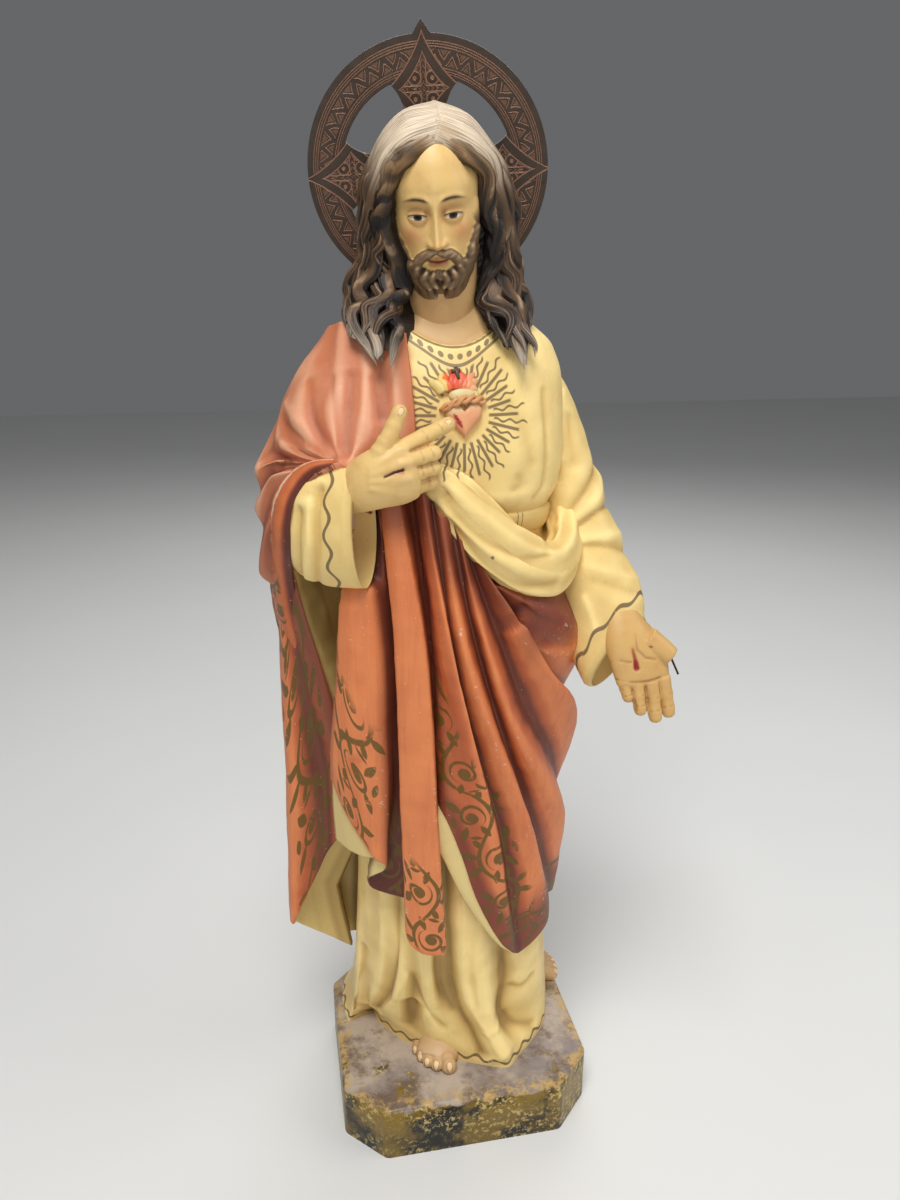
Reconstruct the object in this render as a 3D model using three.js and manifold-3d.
// A painted plaster devotional statuette on its chamfered plinth, with a pierced metal halo.
// Millimetres, +Z up, the figure faces -Y. The origin is the middle of the plinth's underside.
// "Right" and "left" in the names are the figure's own right and left.
import * as THREE from "three";
import { mergeVertices } from "three/addons/utils/BufferGeometryUtils.js";
import Module from "manifold-3d";

const wasm = await Module();
wasm.setup();

// Plinth
const PLINTH_WIDTH = 120;
const PLINTH_DEPTH = 106;
const PLINTH_HEIGHT = 28;
const PLINTH_CHAMFER = 18;
const PLINTH_EDGE = 1.8;

// Figure: the tables below are drawn for DRAWN_HEIGHT, plinth top to crown
const FIGURE_HEIGHT = 421;
const DRAWN_HEIGHT = 421;
const SINK = 1.5;
const HEM = 2;

// Halo and its stem
const HALO_RADIUS = 48.8;
const HALO_THICKNESS = 1.2;
const HALO_RING_WIDTH = 14;
const HALO_HUB_RADIUS = 12;
const HALO_SPIKE = 4.5;
const STEM_DIAMETER = 3;
const STEM_CLEARANCE = 0.3;
const STEM_GRIP = 8;
const BORE_RUN_OUT = 6;

// Bare armature wire in the broken thumb
const WIRE_DIAMETER = 0.9;
const WIRE_LENGTH = 11;
const WIRE_GRIP = 3;
const WIRE_CLEARANCE = 0.3;

// Fineness of the facets
const NET_COLUMNS = 1;
const NET_ROWS = 14;
const FINGER_SIDES = 6;

const FIGURE_SCALE = FIGURE_HEIGHT / DRAWN_HEIGHT;
const DEGREE = Math.PI / 180;

// A smooth curve through values at rising keys that never overshoots them
function through(keys, values, x) {
  const last = keys.length - 1;
  if (x <= keys[0]) return values[0];
  if (x >= keys[last]) return values[last];
  let i = 0;
  while (x > keys[i + 1]) i += 1;
  const slope = (k) => (values[k + 1] - values[k]) / (keys[k + 1] - keys[k]);
  const tangent = (k) => {
    if (k === 0) return slope(0);
    if (k === last) return slope(last - 1);
    const before = slope(k - 1);
    const after = slope(k);
    return before * after <= 0 ? 0 : (2 * before * after) / (before + after);
  };
  const h = keys[i + 1] - keys[i];
  const t = (x - keys[i]) / h;
  const t2 = t * t;
  const t3 = t2 * t;
  return (
    (2 * t3 - 3 * t2 + 1) * values[i] +
    (t3 - 2 * t2 + t) * h * tangent(i) +
    (3 * t2 - 2 * t3) * values[i + 1] +
    (t3 - t2) * h * tangent(i + 1)
  );
}

// Row of a table keyed by its first number
function rowAt(table, key) {
  const keys = table.map((row) => row[0]);
  return table[0].slice(1).map((_, k) => through(keys, table.map((row) => row[k + 1]), key));
}

// Point at share s of the length of a line of control points
function alongLine(points, s) {
  const keys = [0];
  for (let i = 1; i < points.length; i += 1) {
    const step = Math.hypot(...points[i].map((value, k) => value - points[i - 1][k]));
    keys.push(keys[i - 1] + step);
  }
  const total = keys[keys.length - 1];
  return points[0].map((_, k) => through(keys, points.map((point) => point[k]), s * total));
}

// Radius of a rounded plan with its own reach to right, left, front and back
function planRadius([right, left, front, back], angle, power = 2.2) {
  const c = Math.cos(angle * DEGREE);
  const s = Math.sin(angle * DEGREE);
  const a = c > 0 ? right : left;
  const b = s > 0 ? back : front;
  return (Math.abs(c / a) ** power + Math.abs(s / b) ** power) ** (-1 / power);
}

// A closed body from vertices and triangles, as a solid that can be joined and cut
function solid(vertices, triangles) {
  const geometry = new THREE.BufferGeometry();
  geometry.setAttribute("position", new THREE.Float32BufferAttribute(vertices.flat(), 3));
  geometry.setIndex(triangles.flat());
  return solidOf(geometry);
}

function solidOf(geometry) {
  const bare = geometry.clone();
  bare.deleteAttribute("normal");
  bare.deleteAttribute("uv");
  const merged = mergeVertices(bare, 1e-4);
  const position = merged.attributes.position.array;
  const index = merged.index.array;
  const corner = (k) => new THREE.Vector3(...position.slice(3 * index[k], 3 * index[k] + 3));
  let volume = 0;
  for (let k = 0; k < index.length; k += 3) {
    volume += corner(k).dot(corner(k + 1).cross(corner(k + 2)));
  }
  const triVerts = new Uint32Array(index);
  if (volume < 0) {
    for (let k = 0; k < triVerts.length; k += 3) {
      [triVerts[k], triVerts[k + 1]] = [triVerts[k + 1], triVerts[k]];
    }
  }
  const mesh = new wasm.Mesh({ numProp: 3, vertProperties: new Float32Array(position), triVerts });
  return new wasm.Manifold(mesh);
}

function geometryOf(body) {
  const mesh = body.getMesh();
  const geometry = new THREE.BufferGeometry();
  geometry.setAttribute("position", new THREE.BufferAttribute(mesh.vertProperties, 3));
  geometry.setIndex(new THREE.BufferAttribute(mesh.triVerts, 1));
  geometry.computeVertexNormals();
  return geometry;
}

const joined = (bodies) => bodies.reduce((whole, body) => whole.add(body));

// A body through rings of equal count, its two ends closed by fans
function loft(rings) {
  const sides = rings[0].length;
  const vertices = rings.flat();
  const triangles = [];
  const middle = (ring) => [0, 1, 2].map((k) => ring.reduce((sum, p) => sum + p[k], 0) / sides);
  const first = vertices.push(middle(rings[0])) - 1;
  const last = vertices.push(middle(rings[rings.length - 1])) - 1;
  const tail = (rings.length - 1) * sides;
  for (let i = 0; i < sides; i += 1) {
    const next = (i + 1) % sides;
    triangles.push([first, next, i]);
    triangles.push([last, tail + i, tail + next]);
    for (let j = 0; j < rings.length - 1; j += 1) {
      const a = j * sides + i;
      const b = j * sides + next;
      triangles.push([a, b, b + sides]);
      triangles.push([a, b + sides, a + sides]);
    }
  }
  return solid(vertices, triangles);
}

// A ring about a middle, square to a facing direction, with its first half axis near "up"
function ring(middle, facing, up, half, otherHalf, sides, swell = () => 1) {
  const n = new THREE.Vector3(...facing).normalize();
  const v = new THREE.Vector3().crossVectors(n, new THREE.Vector3(...up)).normalize();
  const u = new THREE.Vector3().crossVectors(v, n);
  return Array.from({ length: sides }, (_, i) => {
    const turn = (2 * Math.PI * i) / sides;
    const reach = swell(turn);
    const along = half * reach * Math.cos(turn);
    const across = otherHalf * reach * Math.sin(turn);
    return middle.map((m, k) => m + u.getComponent(k) * along + v.getComponent(k) * across);
  });
}

// A limb through rows of [x, y, z, half width, half depth], with a rounded far end
function limb(rows, up, sides) {
  const rings = rows.map((row, i) => {
    const before = rows[Math.max(i - 1, 0)];
    const after = rows[Math.min(i + 1, rows.length - 1)];
    const facing = [0, 1, 2].map((k) => after[k] - before[k]);
    return ring(row.slice(0, 3), facing, up, row[3], row[4], sides);
  });
  return loft(rings);
}

// A finger between two points, tapering and round at its tip
function finger(from, to, thick, thin) {
  const at = (s, r) => [...from.map((value, k) => value + (to[k] - value) * s), r, r];
  const length = Math.hypot(...from.map((value, k) => to[k] - value));
  const cap = thin / length;
  const rows = [at(0, thick), at(1 - cap, thin), at(1 - cap * 0.3, thin * 0.72), at(1, thin * 0.2)];
  return limb(rows, [0.3, -1, 0.2], FINGER_SIDES);
}

function toe(from, to, thick, thin) {
  const at = (s, r) => [...from.map((value, k) => value + (to[k] - value) * s), r, r];
  return limb([at(0, thick), at(0.7, thin), at(1, thin * 0.4)], [0.3, -1, 0.2], FINGER_SIDES);
}

// Four corners as two triangles, split along the shorter diagonal
function quad(vertices, a, b, c, d) {
  const gap = (p, q) => Math.hypot(...vertices[p].map((value, k) => value - vertices[q][k]));
  return gap(a, c) <= gap(b, d) ? [[a, b, c], [a, c, d]] : [[a, b, d], [b, c, d]];
}

// Cloth and hair: a surface through lines side by side, closed by walls down to a spine.
// Each line is a list of control points; "place" turns a control point into x, y, z, and
// "lift" moves a point away from the spine by a distance for its column and share of length.
function net(lines, spine, options = {}) {
  const { place = (p) => p, lift = () => 0, columns = NET_COLUMNS, rows = NET_ROWS, closed = false } = options;
  const count = closed ? lines.length * columns : (lines.length - 1) * columns;
  const width = closed ? count : count + 1;
  const wrapped = closed ? [lines[lines.length - 1], ...lines, lines[0], lines[1]] : lines;
  const shift = closed ? 1 : 0;
  const keys = wrapped.map((_, k) => k - shift);
  const vertices = [];
  for (let j = 0; j <= rows; j += 1) {
    const across = wrapped.map((line) => alongLine(line, j / rows));
    const middle = alongLine(spine, j / rows);
    for (let i = 0; i < width; i += 1) {
      const u = i / columns;
      const point = place(across[0].map((_, k) => through(keys, across.map((p) => p[k]), u)));
      const away = point.map((value, k) => value - middle[k]);
      const stretch = lift(u, j / rows) / Math.hypot(...away);
      vertices.push(point.map((value, k) => value + away[k] * stretch));
    }
  }
  const core = [];
  for (let j = 0; j <= rows; j += 1) core.push(vertices.push(alongLine(spine, j / rows)) - 1);
  const at = (i, j) => j * width + (i % width);
  const triangles = [];
  for (let i = 0; i < count; i += 1) {
    for (let j = 0; j < rows; j += 1) {
      triangles.push(...quad(vertices, at(i, j), at(i, j + 1), at(i + 1, j + 1), at(i + 1, j)));
    }
    triangles.push([at(i, 0), at(i + 1, 0), core[0]]);
    triangles.push([at(i + 1, rows), at(i, rows), core[rows]]);
  }
  if (!closed) {
    for (let j = 0; j < rows; j += 1) {
      triangles.push([at(0, j + 1), at(0, j), core[j]]);
      triangles.push([at(0, j + 1), core[j], core[j + 1]]);
      triangles.push([at(count, j), at(count, j + 1), core[j + 1]]);
      triangles.push([at(count, j), core[j + 1], core[j]]);
    }
  }
  return solid(vertices, triangles);
}

// Plinth: an octagon with a slightly rounded upper edge
function plinth() {
  const outline = (inset, z) => {
    const x = PLINTH_WIDTH / 2 - inset;
    const y = PLINTH_DEPTH / 2 - inset;
    const c = PLINTH_CHAMFER - inset * 0.6;
    return [
      [x - c, -y, z], [x, -y + c, z], [x, y - c, z], [x - c, y, z],
      [-x + c, y, z], [-x, y - c, z], [-x, -y + c, z], [-x + c, -y, z],
    ];
  };
  return loft([
    outline(0, 0),
    outline(0, PLINTH_HEIGHT - PLINTH_EDGE),
    outline(PLINTH_EDGE * 0.3, PLINTH_HEIGHT - PLINTH_EDGE * 0.4),
    outline(PLINTH_EDGE, PLINTH_HEIGHT),
  ]);
}

// Tunic skirt: folds down to the hem that spreads over the plinth
const SKIRT = [
  [[-43, 14, 150], [-45, 15, 90], [-47, 17, 50], [-50, 19, 20], [-54, 21, 5], [-56, 21, HEM], [-56, 21, -SINK]],
  [[-45, 2, 150], [-46.5, 0, 90], [-49, -1, 50], [-50.5, 1, 20], [-52.5, 4, 5], [-54, 6, HEM], [-54, 6, -SINK]],
  [[-43, -9, 150], [-44, -10, 90], [-44, -8, 50], [-44, -2, 25], [-43, 5, 8], [-42, 9, HEM], [-42, 9, -SINK]],
  [[-38, -17, 150], [-37, -18, 90], [-36, -17, 62], [-37, -14, 38], [-39.5, -7, 20], [-38.5, 2, HEM], [-38.5, 2, -SINK]],
  [[-34, -21, 150], [-33, -22.5, 90], [-31.5, -24, 65], [-31, -23, 45], [-32, -17, 22], [-31, -9, HEM], [-31, -9, -SINK]],
  [[-29, -25, 150], [-27, -26, 90], [-25, -26, 60], [-24, -22.5, 40], [-25, -17, 20], [-25, -15, HEM], [-25, -15, -SINK]],
  [[-22, -29, 150], [-20, -29, 90], [-19, -30, 66], [-18, -30, 45], [-17, -27, 25], [-14, -24, HEM], [-14, -24, -SINK]],
  [[-14, -31, 150], [-13, -30, 90], [-12, -28, 60], [-11, -27, 40], [-9.5, -28, 25], [-4.5, -29, HEM], [-4.5, -29, -SINK]],
  [[-4, -32.5, 150], [-3, -33, 100], [-1, -33, 70], [2, -32, 45], [4, -32, 25], [6, -34, HEM], [6, -34, -SINK]],
  [[6, -33, 150], [5, -34, 100], [6, -34.5, 70], [8, -34.5, 45], [11, -35, 25], [19, -38.5, HEM], [19, -38.5, -SINK]],
  [[16, -30, 150], [15, -30, 100], [16, -29, 70], [18, -26, 42], [17, -26, 22], [27, -32, HEM], [27, -32, -SINK]],
  [[25, -26.5, 150], [25, -26, 100], [26, -26, 70], [27, -26, 45], [28, -23.5, 20], [34, -26, HEM], [34, -26, -SINK]],
  [[34, -20, 150], [35, -20, 100], [36, -20, 70], [38, -20, 45], [41, -16, 22], [45, -13, HEM], [45, -13, -SINK]],
  [[41, -10, 150], [42, -9, 100], [43, -8, 70], [45, -7, 45], [48, -2, 22], [51, 5, HEM], [51, 5, -SINK]],
  [[45, 2, 150], [45, 4, 100], [46, 6, 70], [48, 9, 45], [51, 14, 22], [54, 20, HEM], [54, 20, -SINK]],
  [[43, 14, 150], [44, 16, 100], [45, 18, 70], [47, 21, 45], [50, 27, 20], [53, 31, HEM], [53, 31, -SINK]],
  [[34, 24, 150], [35, 26, 90], [36, 28, 50], [40, 34, 15], [43, 38, HEM], [43, 38, -SINK]],
  [[20, 31, 150], [21, 32, 90], [22, 34, 50], [24, 39, 15], [26, 42, HEM], [26, 42, -SINK]],
  [[6, 33, 150], [6, 33, 90], [6, 34, 50], [7, 37, 15], [8, 39, HEM], [8, 39, -SINK]],
  [[-8, 34, 150], [-8, 35.5, 90], [-8, 37, 50], [-9, 41, 15], [-10, 44, HEM], [-10, 44, -SINK]],
  [[-22, 31, 150], [-22, 31, 90], [-23, 32, 50], [-25, 36, 15], [-27, 38, HEM], [-27, 38, -SINK]],
  [[-35, 25, 150], [-36, 27, 90], [-38, 29, 50], [-44, 34, 15], [-51, 38, HEM], [-51, 38, -SINK]],
];
const SKIRT_SPINE = [[0, 0, 150], [0, 0, -SINK]];

// Torso: height, middle x, middle y, reach to right, left, front, back
const TORSO = [
  [140, 0, 2, 44, 44, 32, 33],
  [180, 0, 1, 45, 45, 34, 33],
  [225, 0, 0, 44, 44, 35, 32],
  [252, 0, 0, 41, 43, 34, 30],
  [264, 0, 0, 38, 41, 33, 29],
  [272, 0, 0, 39, 42, 34.5, 29],
  [282, 0, 0, 43, 44, 38.5, 30],
  [295, 0, 0, 45, 45, 38.5, 31],
  [312, 0, 1, 45, 45, 36.5, 31],
  [326, 0, 2, 44, 44, 33, 30],
  [336, 0, 3, 41, 42, 29, 27],
  [343, -1, 3, 35, 36, 25, 24],
  [349, -2, 2, 27, 27, 21.5, 20],
  [353, -4, 0, 19.5, 19.5, 17.5, 17],
];

function torso() {
  const levels = 10;
  const sides = 18;
  const low = TORSO[0][0];
  const high = TORSO[TORSO.length - 1][0];
  const rings = Array.from({ length: levels + 1 }, (_, j) => {
    const z = low + ((high - low) * j) / levels;
    const [cx, cy, ...plan] = rowAt(TORSO, z);
    return Array.from({ length: sides }, (_unused, i) => {
      const angle = (360 * i) / sides;
      const r = planRadius(plan, angle);
      return [cx + r * Math.cos(angle * DEGREE), cy + r * Math.sin(angle * DEGREE), z];
    });
  });
  return loft(rings);
}

// Mantle: lines of [angle, height, lift] on a rounded plan about the body
const MANTLE_MIDDLE = -8;
const MANTLE_PLAN = [
  [30, 50, 66, 38, 44],
  [72, 56, 70, 42, 44],
  [122, 58, 69, 44, 42],
  [172, 60, 68, 46, 42],
  [212, 60, 68, 46, 42],
  [252, 56, 70, 44, 40],
  [282, 50, 72, 42, 38],
  [312, 48, 60, 36, 34],
  [342, 30, 40, 26, 28],
];

function onMantle([angle, z, lift]) {
  const r = planRadius(rowAt(MANTLE_PLAN, z), angle) + lift;
  return [MANTLE_MIDDLE + r * Math.cos(angle * DEGREE), r * Math.sin(angle * DEGREE), z];
}

// The same control point from x, y, z, with its angle between 90 and 270 degrees
function fromPlace([x, y, z]) {
  const angle = (Math.atan2(y, x - MANTLE_MIDDLE) / DEGREE + 360) % 360;
  const r = Math.hypot(x - MANTLE_MIDDLE, y);
  return [angle, z, r - planRadius(rowAt(MANTLE_PLAN, z), angle)];
}

const aroundFrom = (points, turn) => points.map(fromPlace).map(([a, z, lift]) => [a + turn, z, lift]);

const MANTLE_FRONT = [
  aroundFrom([[-44, -14, 250], [-43, -14, 200], [-42, -12, 152]], -360),
  [[-140, 250, 0], [-143, 213, 0], [-147, 172, 0], [-148, 150, -0.5]],
  [[-139, 250, 1.5], [-141, 213, 1.5], [-144, 172, 1.5], [-146, 132, -2]],
  [[-133, 250, 3], [-135, 213, 3.5], [-138, 172, 3], [-138, 129, 0.5]],
  [[-128, 250, 2], [-128, 213, 3], [-130, 172, 3], [-130, 126, 1.5]],
  [[-124.5, 250, -0.5], [-123.5, 213, -1], [-123.5, 172, -1], [-125.5, 126, -1]],
  [[-123.8, 250, -4], [-123, 213, -4], [-123.2, 172, -4], [-126, 120, -4]],
  [[-123.4, 250, -5.5], [-122.6, 209, -5.5], [-123.5, 160, -5], [-132, 115, -4.5]],
  [[-122.8, 255, -7], [-121.8, 209, -7.5], [-122.5, 160, -7.5], [-132, 111, -6.5]],
  [[-121.5, 262, -8], [-120.6, 209, -9], [-121, 160, -9], [-125, 106, -7.5]],
  [[-118.7, 275, -5], [-119, 213, -6], [-119, 150, -7], [-119, 102, -6]],
  [[-118, 278, 0], [-118.5, 213, 0], [-118, 150, 0], [-118, 92, 0]],
  [[-117, 282, 2], [-117, 213, 3], [-116.5, 150, 3], [-115.5, 86, 2.5]],
  [[-113, 285, 3.5], [-111.5, 213, 4], [-110, 150, 4], [-107, 79.5, 3]],
  [[-109, 285, 3.5], [-104.5, 213, 4], [-101, 150, 4], [-97, 78, 3]],
  [[-108, 285, 2], [-103.5, 213, 2.5], [-100, 150, 2], [-95, 81, 1]],
  [[-107.3, 285, -4], [-103.2, 213, -6], [-99.5, 155, -8], [-97, 95, -13]],
  [[-105, 285, -6], [-102.5, 213, -8], [-101, 170, -8], [-100, 151, -8]],
  [[-103, 285, -1], [-99.5, 213, -2], [-97, 175, -3], [-95, 145, -2]],
  [[-102.5, 284, 0], [-98, 216, 0], [-91, 173, -1], [-86, 126, -1]],
  [[-102, 283, 1.5], [-97, 219, 1.5], [-86, 172, 1], [-77, 103, 0]],
  [[-101, 280, 3], [-93, 225, 4], [-80, 174, 4], [-69, 130, 3.5], [-58, 72, 1]],
  [[-98, 275, -1], [-90, 217, -2.5], [-79, 178, -3], [-62, 132, -3], [-46, 63, -1]],
  [[-95, 270, 3], [-86, 220, 4], [-70, 178, 4.5], [-48, 126, 4], [-30, 71, 2]],
  [[-92, 268, -1], [-82, 234, -2.5], [-66, 188, -3], [-42, 131, -3.5], [-16, 80, -2]],
  [[-89, 262, 3], [-78, 228, 4.5], [-60, 180, 4.5], [-38, 146, 4.5], [-14, 112, 3], [-2, 72, 2]],
  [[-84, 258, -2], [-72, 238, -3], [-52, 196, -4], [-28, 160, -4], [0, 118, -2], [16, 60, -1]],
  [[-78, 252, 2], [-64, 237, 4], [-44, 206, 4.5], [-20, 180, 4.5], [12, 130, 3], [34, 52, 1]],
  [[-73, 249, -3], [-57, 232, -3], [-38, 205, -3.5], [-16, 188, -3.5], [22, 150, -2], [49, 46, 0]],
  [[-68, 247, 1], [-50, 236, 4], [-30, 221, 5], [-10, 206, 4.5], [30, 165, 3], [63, 41, 2]],
  [[-60, 247, -2], [-40, 242, -1], [-20, 235, -1], [2, 225, -1], [42, 185, 0], [77, 38, 0]],
];

const MANTLE_BACK = [
  [[15, 262, 1], [50, 215, 3], [70, 150, 4], [88, 37, 3]],
  [[32, 272, -1], [62, 215, -2], [80, 150, -2], [97, 36, -2]],
  [[50, 284, 1], [76, 215, 3], [92, 150, 4], [106, 36, 4]],
  [[68, 298, -1], [90, 220, -2], [103, 150, -3], [115, 35, -2]],
  [[86, 312, 1], [103, 225, 3], [113, 150, 4], [124, 35, 4]],
  [[102, 324, 0], [116, 225, -2], [124, 150, -3], [134, 34, -3]],
  [[118, 332, 1], [130, 225, 3], [136, 150, 4], [143, 34, 1]],
  [[132, 332, 0], [142, 225, -1], [146, 150, -2], [150, 35, -5]],
];
const MANTLE_SIDE = [
  [[-60, 22, 282], [-64, 22, 230], [-63, 23, 170], [-58, 22, 90], [-51, 20, 37]],
  [[-72, 14, 270], [-74, 14, 236], [-73, 16, 180], [-71, 16, 120], [-66, 14, 52]],
  [[-81, 2, 270], [-78, 0, 236], [-77.5, 1, 177], [-78.5, 3, 130], [-80, 5, 68]],
  [[-82, -10, 268], [-77, -11, 234], [-75.5, -9, 208], [-75.5, -7, 177], [-76.5, -5, 132], [-78.5, -2, 71]],
  [[-76, -20, 264], [-72, -17, 234], [-68, -13, 208], [-65, -9, 177], [-61, -5, 137], [-62, -2, 106]],
  [[-72, -27, 264], [-66, -24, 234], [-60, -21, 208], [-54, -17, 177], [-50, -12, 128]],
  [[-62, -12, 264], [-56, -9, 234], [-50, -7, 208], [-44, -6, 177], [-42, -3, 135]],
];
const MANTLE_SPINE = [[-8, 0, 300], [-8, 0, 200]];
const mantleLines = () => [...MANTLE_FRONT, ...MANTLE_BACK, ...MANTLE_SIDE.map((line) => aroundFrom(line, 0))];

// Mantle over the right shoulder and arm: folds that run together at the wrist
const CAPE = [
  [[-23, -24, 342], [-22, -32, 322], [-21.5, -38, 300], [-26, -40, 286], [-38, -40, 284]],
  [[-28, -24, 344], [-28, -34, 324], [-28.5, -40.5, 304], [-34, -43, 292], [-42, -43.5, 291]],
  [[-33, -22, 345], [-33, -32, 324], [-35, -39, 306], [-40, -42, 296], [-45, -44, 293]],
  [[-38, -20, 346], [-39, -32, 326], [-41, -40, 310], [-46, -44, 300], [-48, -46, 296]],
  [[-42, -17, 346], [-43, -30, 326], [-46, -38, 310], [-48, -43, 301], [-49.5, -46, 297]],
  [[-46, -13, 346], [-49, -27, 328], [-52, -36, 312], [-52, -42, 302], [-50.5, -46, 297.5]],
  [[-48, -8, 345], [-53, -22, 328], [-57, -31, 312], [-56, -38, 302], [-51, -46, 298]],
  [[-50, -2, 344], [-60, -14, 328], [-65, -24, 312], [-62, -34, 302], [-52, -46, 298]],
  [[-51, 4, 342], [-65, -6, 324], [-69, -17, 308], [-63, -30, 300], [-53, -46, 298]],
  [[-50, 10, 340], [-68, 2, 318], [-73, -12, 304], [-66, -29, 299], [-53.5, -45.5, 297.5]],
  [[-48, 15, 338], [-70, 8, 312], [-74, -8, 298], [-66, -28, 296], [-54, -45.5, 297]],
  [[-46, 20, 334], [-73, 12, 302], [-82, -6, 290], [-70, -26, 296], [-55, -45, 297]],
  [[-44, 24, 328], [-72, 16, 290], [-80, -4, 281], [-70, -24, 292], [-56, -45, 296.5]],
  [[-42, 26, 320], [-72, 18, 280], [-83, -6, 274], [-75, -26, 291], [-57, -44.5, 296]],
  [[-40, 27, 310], [-68, 18, 268], [-80, -6, 266], [-74, -26, 284], [-58, -44, 295]],
  [[-38, 27, 300], [-62, 18, 258], [-82, -8, 256], [-78, -28, 278], [-60, -43.5, 294]],
  [[-36, 20, 290], [-58, 10, 250], [-72, -14, 250], [-70, -28, 275], [-60, -42, 291]],
];
const CAPE_SPINE = [[-30, 0, 322], [-50, 0, 300], [-62, -10, 285], [-58, -24, 286], [-50, -38, 289]];

// The mantle's lining turned out as a thick roll across the waist:
// middle x, y, z, half width along the body, half depth away from it
const ROLL = [
  [-24, -34, 291, 6, 4],
  [-12, -39, 287, 8, 5],
  [-3, -41, 277, 10, 6],
  [9, -42, 264, 11.5, 6.5],
  [22, -39, 254, 12, 7],
  [34, -32, 250, 12, 7],
  [43, -20, 253, 11, 7],
  [46, -8, 261, 9, 6],
  [42, 5, 264, 8, 7],
  [33, 14, 266, 7, 7],
];
const ROLL_RIDGES = 4;

function roll() {
  const steps = 12;
  const sides = 12;
  const rows = Array.from({ length: steps + 1 }, (_, i) => alongLine(ROLL, i / steps));
  const grooves = (turn) => 1 + 0.07 * Math.cos(ROLL_RIDGES * 2 * turn);
  const rings = rows.map((row, i) => {
    const before = rows[Math.max(i - 1, 0)];
    const after = rows[Math.min(i + 1, steps)];
    const facing = [0, 1, 2].map((k) => after[k] - before[k]);
    const outward = [row[0], row[1], 0];
    return ring(row.slice(0, 3), facing, outward, row[4], row[3], sides, grooves);
  });
  return loft(rings);
}

// Belt under the bloused chest
function belt() {
  const sides = 18;
  const level = (z, grow) => {
    const [cx, cy, ...plan] = rowAt(TORSO, z);
    return Array.from({ length: sides }, (_, i) => {
      const angle = (360 * i) / sides;
      const r = planRadius(plan, angle) + grow;
      return [cx + r * Math.cos(angle * DEGREE), cy + r * Math.sin(angle * DEGREE), z];
    });
  };
  return loft([level(265, 0.5), level(266, 2.2), level(272, 2), level(274, 0)]);
}

// Sleeves: rows of [middle, facing, up, half height, half width]
const LEFT_SLEEVE = [
  [[20, 5, 324], [0.8, 0, -0.6], [0.6, 0, 0.8], 13, 14],
  [[32, 4, 317], [0.7, 0, -0.7], [0.7, 0, 0.7], 15, 16],
  [[41.5, 3, 300], [0.45, -0.05, -0.9], [0.9, 0, 0.45], 14.5, 17],
  [[48, 0, 279], [0.3, -0.1, -0.95], [0.95, 0, 0.3], 15, 17],
  [[53.5, -4, 258], [0.25, -0.3, -0.92], [0.95, 0, 0.25], 16.5, 17],
  [[58.5, -10, 240], [0.2, -0.5, -0.85], [0.93, 0, 0.35], 18, 16.5],
  [[62.5, -17, 225], [0.3, -0.6, -0.72], [0.75, 0, 0.65], 19.5, 15],
  [[66, -25, 210], [0.5, -0.75, -0.4], [0.49, 0.02, 0.87], 20.5, 13],
];
const LEFT_CUFF_HOLLOW = [
  [[68, -28, 208], [0.5, -0.75, -0.4], [0.49, 0.02, 0.87], 18.5, 11],
  [[65.5, -23, 211], [0.5, -0.75, -0.4], [0.49, 0.02, 0.87], 17.5, 10],
  [[62, -15, 219], [0.3, -0.6, -0.72], [0.75, 0, 0.65], 12, 7],
];
const RIGHT_SLEEVE = [
  [[-62, -4, 270], [0.55, -0.83, 0.2], [0.1, 0, 1], 18, 13],
  [[-66, -20, 271], [0.6, -0.8, 0.1], [0.05, 0, 1], 22, 13],
  [[-60, -32, 272], [0.75, -0.65, 0.05], [-0.08, 0, 1], 23.5, 13],
  [[-53, -38, 273], [0.83, -0.55, 0], [-0.05, 0, 1], 24, 12],
  [[-45, -42.5, 274], [0.83, -0.55, 0], [-0.05, 0, 1], 24.5, 11.5],
];
const RIGHT_CUFF_HOLLOW = [
  [[-42, -44.5, 272], [0.83, -0.55, 0], [-0.05, 0, 1], 22, 9.6],
  [[-47, -41.5, 271], [0.83, -0.55, 0], [-0.05, 0, 1], 21, 9],
  [[-57, -35, 272], [0.8, -0.6, 0], [-0.05, 0, 1], 14, 5],
];

function sleeve(rows, sides, between) {
  const steps = (rows.length - 1) * between;
  const flat = rows.map((row) => row.flat());
  const rings = Array.from({ length: steps + 1 }, (_, i) => {
    const row = flat[0].map((_unused, k) => through(flat.map((_f, j) => j), flat.map((f) => f[k]), i / between));
    return ring(row.slice(0, 3), row.slice(3, 6), row.slice(6, 9), row[9], row[10], sides);
  });
  return loft(rings);
}

// Right hand on the chest: palm rows, then fingers from knuckle to tip
const RIGHT_PALM = [
  [-56, -42, 287, 8, 6.5],
  [-48, -46, 289, 8.5, 6.5],
  [-39, -49, 292, 10.5, 6.5],
  [-31, -50, 294.5, 11.5, 6.2],
  [-26, -50, 295.5, 10.5, 5],
  [-24, -50, 296, 8, 3.5],
];
const RIGHT_FINGERS = [
  [[-29, -50, 303.5], [-8.5, -42, 311.5], 3.2, 2.5],
  [[-28, -52, 299], [-14.5, -48, 301.5], 3.3, 2.7],
  [[-28, -51.5, 293.5], [-14.5, -47, 296], 3.2, 2.6],
  [[-29, -50, 288], [-15.5, -46, 290.5], 2.9, 2.4],
  [[-39, -50, 298], [-33, -50.5, 309], 4.2, 3.3],
  [[-34, -50.5, 307], [-28.3, -49.5, 319.5], 3.5, 2.6],
];

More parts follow.
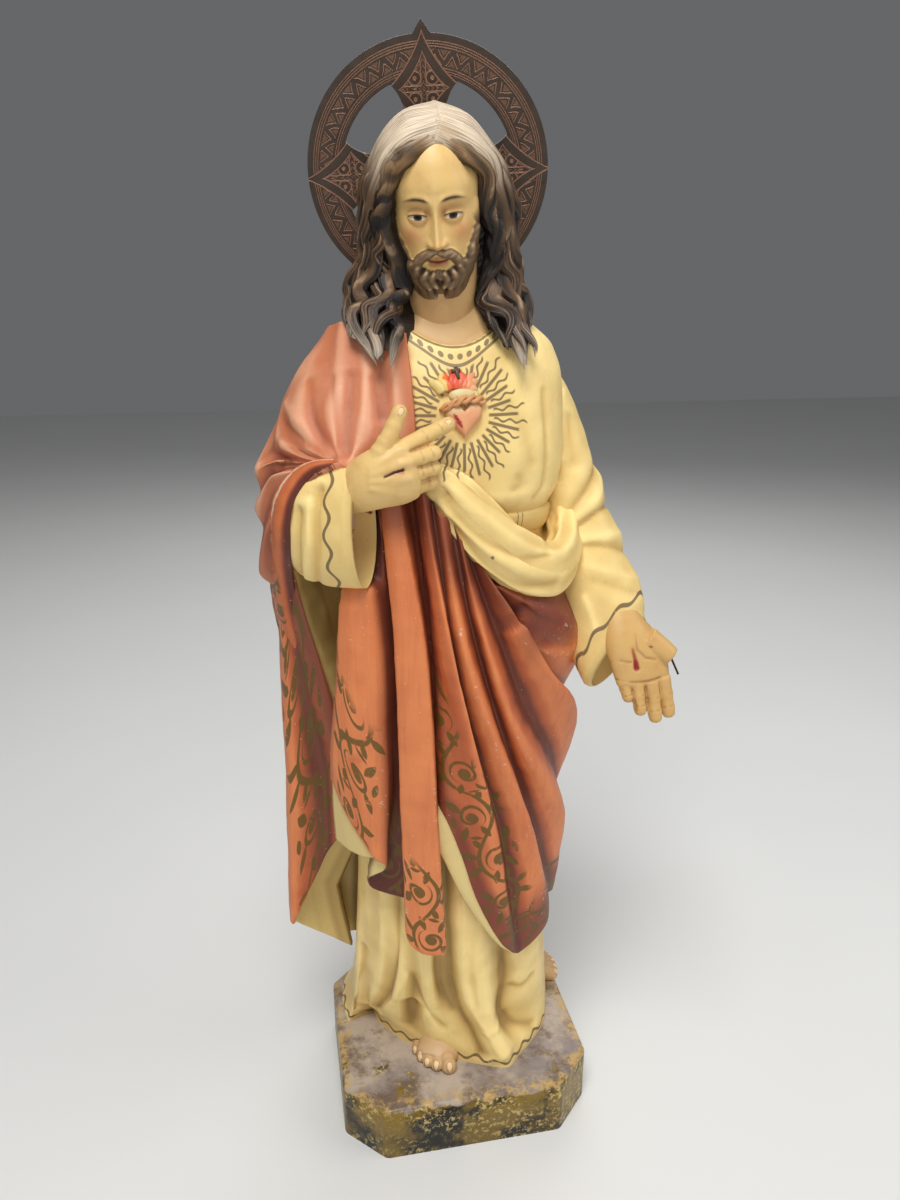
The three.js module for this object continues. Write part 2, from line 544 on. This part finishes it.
// Left hand open beside the hip
const LEFT_PALM = [
  [66, -22, 229, 8, 6],
  [67.5, -28, 223, 9, 6.2],
  [70, -33, 216, 11.5, 6],
  [73, -36.5, 208, 12.3, 5.2],
  [74.5, -38.5, 201, 11.8, 4.5],
  [75, -39.5, 198, 10, 3.2],
];
const LEFT_FINGERS = [
  [[83, -39, 201], [86.5, -42, 183], 3, 2.3],
  [[77.5, -40, 200], [79.2, -45, 182.5], 3, 2.3],
  [[71.5, -39.5, 200], [72.6, -44, 186], 2.9, 2.2],
  [[66, -38, 201], [68.2, -41.5, 191.5], 2.7, 2.1],
];
const THUMB_ROOT = [77, -34, 217];
const THUMB_BREAK = [86.5, -38.5, 209.5];
const THUMB_THICK = 5.4;
const THUMB_THIN = 4.2;
const WIRE_WAY = [0.35, -0.32, -0.88];

function thumbStump() {
  const at = (s, r) => [...THUMB_ROOT.map((value, k) => value + (THUMB_BREAK[k] - value) * s), r, r];
  return limb([at(0, THUMB_THICK), at(0.6, THUMB_THICK * 0.9), at(1, THUMB_THIN)], [0, -1, 0.4], 8);
}

// Feet: a low dome under the hem and a row of toes
const RIGHT_FOOT = [
  [-4, -8, 6, 9, 7], [-9, -18, 5.5, 10, 6.5], [-13, -26, 4, 10, 4.8], [-15, -30, 3, 9, 3.4],
];
const RIGHT_TOES = [
  [[-9.5, -27, 3.6], [-9, -38.5, 3], 4.2, 3.2],
  [[-13.5, -26, 3.2], [-15, -35.5, 2.6], 3.1, 2.5],
  [[-17, -24.5, 3], [-19, -32.5, 2.4], 2.9, 2.3],
  [[-19.5, -22, 2.8], [-21.8, -28.5, 2.2], 2.7, 2.2],
  [[-21.5, -18, 2.6], [-23.5, -23.5, 2.1], 2.5, 2.1],
];
const LEFT_FOOT = [
  [34, 20, 7, 9, 7], [44, 22, 6.5, 10, 6.5], [51, 25, 4.8, 10, 4.8], [55, 27, 3.4, 8.5, 3.2],
];
const LEFT_TOES = [
  [[51, 18, 3.6], [58.5, 15.5, 3], 4, 3],
  [[53, 22.5, 3.2], [60, 20.5, 2.6], 3, 2.4],
  [[53.5, 26.5, 3], [60.2, 25.3, 2.4], 2.8, 2.3],
  [[53, 30.5, 2.8], [59.5, 30, 2.2], 2.6, 2.2],
  [[51.5, 34, 2.6], [57.5, 34.3, 2.1], 2.5, 2.1],
];

// Head: a frame bowed forward, turned to the figure's right and leaning a little
const HEAD_MIDDLE = [-9.8, -13, 387];
const HEAD_BOW = 17;
const HEAD_TURN = -10;
const HEAD_LEAN = -4;
const headFrame = new THREE.Matrix4()
  .makeTranslation(...HEAD_MIDDLE)
  .multiply(new THREE.Matrix4().makeRotationZ(HEAD_TURN * DEGREE))
  .multiply(new THREE.Matrix4().makeRotationX(HEAD_BOW * DEGREE))
  .multiply(new THREE.Matrix4().makeRotationY(HEAD_LEAN * DEGREE));
const inHead = (point) => new THREE.Vector3(...point).applyMatrix4(headFrame).toArray();

// Head rows: height, half width, reach to the front, reach to the back
const HEAD_ROWS = [
  [-29, 3.5, 15.5, -9],
  [-26.5, 7.5, 18.8, -3],
  [-21.5, 10.8, 20.4, 6],
  [-15.5, 13.6, 21, 12],
  [-8, 15.8, 21, 18],
  [0, 16.9, 20.6, 20.5],
  [8, 17, 20.8, 21.5],
  [15, 16, 18.6, 21],
  [20, 13.8, 15.4, 18],
  [24, 10, 11, 13.5],
  [27, 5, 5.5, 7.5],
  [27.8, 2, 2.5, 3.5],
];
const bump = (x, z, [cx, cz, sx, sz, height]) =>
  height * Math.exp(-(((x - cx) / sx) ** 2) - ((z - cz) / sz) ** 2);
const FACE_BUMPS = [
  [0, -1, 1.7, 5, 2.2], [0, -7.5, 2.1, 2.6, 4.2], [0, -9, 3.8, 1.5, 1.6],
  [0, 5, 3, 3, 0.7], [-6.5, 4.8, 4, 1.6, 0.7], [6.5, 4.8, 4, 1.6, 0.7],
  [-6.3, 0.6, 3.4, 2.6, -1.5], [6.3, 0.6, 3.4, 2.6, -1.5],
  [-9, -6, 4, 4, 0.5], [9, -6, 4, 4, 0.5],
  [-4.4, -12.2, 3.6, 1.4, 1.6], [4.4, -12.2, 3.6, 1.4, 1.6], [0, -14.2, 3, 1, 0.9], [0, -17, 3, 1.2, -0.4],
  [-5, -24.5, 4, 4.5, 2.4], [5, -24.5, 4, 4.5, 2.4], [-9.5, -19, 3, 4, 1.3], [9.5, -19, 3, 4, 1.3],
  [0, -27, 1, 3, -1],
];

function head() {
  const levels = 16;
  const sides = 16;
  const low = HEAD_ROWS[0][0];
  const high = HEAD_ROWS[HEAD_ROWS.length - 1][0];
  const rings = Array.from({ length: levels + 1 }, (_, j) => {
    const z = low + ((high - low) * j) / levels;
    const [half, front, back] = rowAt(HEAD_ROWS, z);
    const middle = (back - front) / 2;
    const depth = (back + front) / 2;
    return Array.from({ length: sides }, (_unused, i) => {
      const turn = (2 * Math.PI * i) / sides - Math.PI / 2;
      const spread = turn + 0.35 * Math.cos(turn);
      const x = half * Math.cos(spread);
      const ahead = Math.sin(spread) < 0 ? FACE_BUMPS.reduce((sum, b) => sum + bump(x, z, b), 0) : 0;
      const y = middle + depth * Math.sin(spread) - ahead * Math.max(0, -Math.sin(spread)) ** 0.5;
      return inHead([x, y, z]);
    });
  });
  return loft(rings);
}

const NECK = [[-3, 0, 332, 17, 15], [-5, -4, 344, 15, 14], [-7, -9, 356, 14, 13.5], [-8, -13, 372, 14, 14]];

// Hair: strands from the parting over the head to the shoulders, front strand first
const HAIR_BACK_MIDDLE = [
  [-9, 6, 417], [-9.5, 12, 412], [-9.5, 17, 402], [-9, 20, 390], [-8, 20, 378],
  [-7, 19, 367], [-6, 20, 358], [-5, 22, 350], [-5, 23, 344],
];
const HAIR_RIGHT = [
  [
    [-12.8, -31, 405.5], [-20.5, -30.5, 400], [-26.5, -26, 395], [-27.5, -22, 386], [-26, -21, 376],
    [-24, -18, 365], [-22.5, -16, 355], [-24, -26, 343], [-29, -37, 333],
  ],
  [
    [-12.5, -31.5, 409.5], [-22, -31, 406], [-30, -26, 398], [-32, -21, 387], [-31.5, -19, 377],
    [-30, -18, 366], [-30.5, -20, 356], [-32, -31, 344], [-32, -39.5, 328],
  ],
  [
    [-12, -27, 414.5], [-22, -26, 412], [-30.5, -20, 402], [-33.5, -15, 389], [-33.5, -13, 378],
    [-33.5, -13, 366], [-38, -16, 356], [-39, -28, 345], [-35, -38, 332],
  ],
  [
    [-11, -20, 418.5], [-21, -18, 416.5], [-30, -13, 406], [-34, -9, 391], [-34, -7, 378],
    [-35.5, -8, 366], [-42, -11, 356], [-43.5, -22, 346], [-39, -34, 336],
  ],
  [
    [-10, -11, 421], [-20, -9, 418], [-29, -5, 408], [-33.5, -2, 392], [-33.5, 0, 378],
    [-35, -2, 367], [-42, -5, 357], [-44.5, -13, 348], [-44, -22, 342],
  ],
  [
    [-9, 0, 420], [-19, 2, 416], [-27, 6, 406], [-31, 8, 391], [-31, 9, 378],
    [-32, 8, 367], [-37, 6, 358], [-41, 4, 350], [-42, 2, 344],
  ],
];
const HAIR_LEFT = [
  [
    [-11.8, -31, 405.5], [-2.5, -30.5, 399], [4, -26, 395.5], [7, -21, 385], [8, -19, 374],
    [7.5, -17, 364], [7, -16, 354], [11, -24, 343], [17, -35, 332],
  ],
  [
    [-11.5, -31.5, 409.5], [-1, -31, 405.5], [8.5, -25, 399], [12, -20, 387], [12.5, -17, 376],
    [12.5, -15, 365], [13, -18, 354], [17, -29, 342], [20, -37, 329],
  ],
  [
    [-11, -27, 414.5], [-1, -26, 411.5], [10.5, -19, 402], [17, -14, 389], [17.5, -12, 378],
    [18, -11, 366], [19.5, -14, 355], [23, -25, 343], [24, -35, 328],
  ],
  [
    [-10, -20, 418.5], [0, -18, 416.5], [11, -12, 407], [19.5, -7, 392], [21.5, -5, 380],
    [22.5, -5, 368], [24, -8, 357], [27, -17, 345], [27, -28, 333],
  ],
  [
    [-9.5, -11, 421], [0, -9, 418.5], [10.5, -4, 409], [19.5, 0, 393], [21.5, 2, 380],
    [22.5, 1, 368], [23.5, -2, 358], [27, -9, 347], [28, -18, 338],
  ],
  [
    [-9, 0, 420], [0, 3, 416], [9, 7, 407], [16.5, 9, 392], [18, 10, 380],
    [19, 9, 368], [21, 7, 359], [24, 4, 350], [25, 2, 344],
  ],
];
const HAIR_SPINE = [[-9.5, -10, 396], [-8.5, -8, 370], [-5, -3, 330]];
const PARTING_LAP = 0.9;
const HAIR_GROOVE = 1.1;
const HAIR_WAVE = 2.6;
const HAIR_WAVES = 3.5;

// One side's hair, lapping a little over the parting, with grooved and waving locks
function hairSide(strands, side) {
  const lapped = [...strands, HAIR_BACK_MIDDLE].map(([[x, y, z], ...rest], k) => {
    const tail = k < strands.length ? rest : rest.map((point) => [point[0] + side * PARTING_LAP, point[1], point[2]]);
    return [[x + side * PARTING_LAP, y, z], ...tail];
  });
  const lift = (u, s) => {
    const groove = -HAIR_GROOVE * (1 - Math.cos(2 * Math.PI * u)) * Math.min(1, s * 3);
    const wave = HAIR_WAVE * Math.sin(2 * Math.PI * (HAIR_WAVES * s + u * 0.3)) * Math.max(0, s - 0.25);
    return groove + wave;
  };
  return net(lapped, HAIR_SPINE, { columns: 2, rows: 11, lift });
}

// Heart in relief on the chest, with its crown of thorns and flames
const HEART_MIDDLE = [-2.5, -34.5, 311];
const HEART_HALF_WIDTH = 6.3;
const HEART_RELIEF = 3;

function heart() {
  const shape = new THREE.Shape();
  const w = HEART_HALF_WIDTH;
  shape.moveTo(0, -1.35 * w);
  shape.bezierCurveTo(0.55 * w, -0.75 * w, 1.1 * w, -0.2 * w, w, 0.4 * w);
  shape.bezierCurveTo(0.9 * w, 1.05 * w, 0.3 * w, 1.05 * w, 0, 0.65 * w);
  shape.bezierCurveTo(-0.3 * w, 1.05 * w, -0.9 * w, 1.05 * w, -w, 0.4 * w);
  shape.bezierCurveTo(-1.1 * w, -0.2 * w, -0.55 * w, -0.75 * w, 0, -1.35 * w);
  const geometry = new THREE.ExtrudeGeometry(shape, {
    depth: HEART_RELIEF, curveSegments: 3, bevelEnabled: true, bevelThickness: HEART_RELIEF * 0.6,
    bevelSize: HEART_RELIEF * 0.5, bevelOffset: -HEART_RELIEF * 0.5, bevelSegments: 1,
  });
  geometry.rotateX(90 * DEGREE);
  geometry.rotateX(-6 * DEGREE);
  geometry.translate(...HEART_MIDDLE);
  const flames = limb([
    [-2.5, -33, 316, 3.4, 2.4], [-3, -34, 320, 5.2, 2.8], [-3, -32.5, 324.5, 4.4, 2.4], [-3, -30.5, 328, 1.6, 1.2],
  ], [1, 0, 0], 8);
  return solidOf(geometry).add(flames);
}

// Puts a body drawn in the figure's own measures onto the plinth
function onPlinth(body) {
  return body.scale([FIGURE_SCALE, FIGURE_SCALE, FIGURE_SCALE]).translate([0, 0, PLINTH_HEIGHT]);
}

// Halo: pierced disc leaning forward behind the head, on a stem
const HALO_MIDDLE = [-5.4, 28, 402.7];
const HALO_LEAN = 19;
const HALO_TURN = -9.5;
const HALO_ROLL = 2.7;
const haloFrame = new THREE.Matrix4()
  .makeTranslation(
    HALO_MIDDLE[0] * FIGURE_SCALE,
    HALO_MIDDLE[1] * FIGURE_SCALE,
    HALO_MIDDLE[2] * FIGURE_SCALE + PLINTH_HEIGHT,
  )
  .multiply(new THREE.Matrix4().makeRotationZ(HALO_TURN * DEGREE))
  .multiply(new THREE.Matrix4().makeRotationX((90 + HALO_LEAN) * DEGREE))
  .multiply(new THREE.Matrix4().makeRotationZ(HALO_ROLL * DEGREE));
const STEM_FREE = 14;
const STEM_REACH = STEM_FREE * FIGURE_SCALE + STEM_GRIP;

const polar = (r, degrees) => [r * Math.cos(degrees * DEGREE), r * Math.sin(degrees * DEGREE)];

function haloWindow(start) {
  const hole = new THREE.Path();
  const inner = HALO_RADIUS - HALO_RING_WIDTH;
  const corner = 22;
  hole.moveTo(...polar(inner, start + corner));
  hole.absarc(0, 0, inner, (start + corner) * DEGREE, (start + 90 - corner) * DEGREE, false);
  hole.quadraticCurveTo(...polar(inner * 0.74, start + 90 - 12), ...polar(HALO_HUB_RADIUS, start + 45));
  hole.quadraticCurveTo(...polar(inner * 0.74, start + 12), ...polar(inner, start + corner));
  return hole;
}

function halo() {
  const shape = new THREE.Shape();
  const spike = 4;
  shape.moveTo(...polar(HALO_RADIUS, 90 + spike));
  shape.absarc(0, 0, HALO_RADIUS, (90 + spike) * DEGREE, (450 - spike) * DEGREE, false);
  shape.lineTo(...polar(HALO_RADIUS + HALO_SPIKE, 90));
  shape.closePath();
  for (let quarter = 0; quarter < 4; quarter += 1) shape.holes.push(haloWindow(quarter * 90));
  const disc = new THREE.ExtrudeGeometry(shape, { depth: HALO_THICKNESS, curveSegments: 9, bevelEnabled: false });
  disc.translate(0, 0, -HALO_THICKNESS / 2);
  const stem = new THREE.CylinderGeometry(STEM_DIAMETER / 2, STEM_DIAMETER / 2, STEM_REACH, 10);
  stem.rotateX(90 * DEGREE);
  stem.translate(0, 0, STEM_REACH / 2);
  disc.applyMatrix4(haloFrame);
  stem.applyMatrix4(haloFrame);
  return solidOf(disc).add(solidOf(stem));
}

function stemBore() {
  const radius = STEM_DIAMETER / 2 + STEM_CLEARANCE;
  const start = STEM_FREE * FIGURE_SCALE - BORE_RUN_OUT;
  const end = STEM_REACH + STEM_CLEARANCE;
  const bore = new THREE.CylinderGeometry(radius, radius, end - start, 10);
  bore.rotateX(90 * DEGREE);
  bore.translate(0, 0, (start + end) / 2);
  bore.applyMatrix4(haloFrame);
  return solidOf(bore);
}

function alongWire(radius, from, to) {
  const way = new THREE.Vector3(...WIRE_WAY).normalize();
  const rod = new THREE.CylinderGeometry(radius, radius, to - from, 8);
  rod.translate(0, (from + to) / 2, 0);
  rod.applyQuaternion(new THREE.Quaternion().setFromUnitVectors(new THREE.Vector3(0, 1, 0), way));
  const root = THUMB_BREAK.map((value) => value * FIGURE_SCALE);
  rod.translate(root[0], root[1], root[2] + PLINTH_HEIGHT);
  return solidOf(rod);
}

const thumbWire = () => alongWire(WIRE_DIAMETER / 2, -WIRE_GRIP, WIRE_LENGTH - WIRE_GRIP);
const wireBore = () => alongWire(WIRE_DIAMETER / 2 + WIRE_CLEARANCE, -WIRE_GRIP - WIRE_CLEARANCE, BORE_RUN_OUT);

function figure() {
  const body = joined([
    net(SKIRT, SKIRT_SPINE, { closed: true, rows: 10 }),
    torso(),
    belt(),
    net(mantleLines(), MANTLE_SPINE, { place: onMantle }),
    net(CAPE, CAPE_SPINE, { rows: 12 }),
    roll(),
    sleeve(LEFT_SLEEVE, 12, 1).subtract(sleeve(LEFT_CUFF_HOLLOW, 10, 1)),
    sleeve(RIGHT_SLEEVE, 12, 2).subtract(sleeve(RIGHT_CUFF_HOLLOW, 10, 1)),
    limb(RIGHT_PALM, [0, 0, 1], 10),
    ...RIGHT_FINGERS.map((row) => finger(...row)),
    limb(LEFT_PALM, [1, 0, 0], 10),
    ...LEFT_FINGERS.map((row) => finger(...row)),
    thumbStump(),
    limb(RIGHT_FOOT, [1, 0, 0], 8),
    ...RIGHT_TOES.map((row) => toe(...row)),
    limb(LEFT_FOOT, [0, 1, 0], 8),
    ...LEFT_TOES.map((row) => toe(...row)),
    limb(NECK, [1, 0, 0], 10),
    head(),
    hairSide(HAIR_RIGHT, 1),
    hairSide(HAIR_LEFT, -1),
    heart(),
  ]);
  return onPlinth(body).add(plinth()).subtract(stemBore()).subtract(wireBore());
}

const plaster = new THREE.MeshStandardMaterial({ name: "painted plaster", color: 0xb5673f, roughness: 0.55, metalness: 0 });
const bronze = new THREE.MeshStandardMaterial({ name: "etched metal", color: 0x4a3a30, roughness: 0.45, metalness: 0.8 });
const iron = new THREE.MeshStandardMaterial({ name: "iron wire", color: 0x2a2624, roughness: 0.6, metalness: 0.7 });

function piece(name, body, material) {
  const mesh = new THREE.Mesh(geometryOf(body), material);
  mesh.name = name;
  return mesh;
}

const statuette = new THREE.Group();
statuette.add(piece("figure", figure(), plaster));
statuette.add(piece("halo", halo(), bronze));
statuette.add(piece("thumb_wire", thumbWire(), iron));

export default statuette;
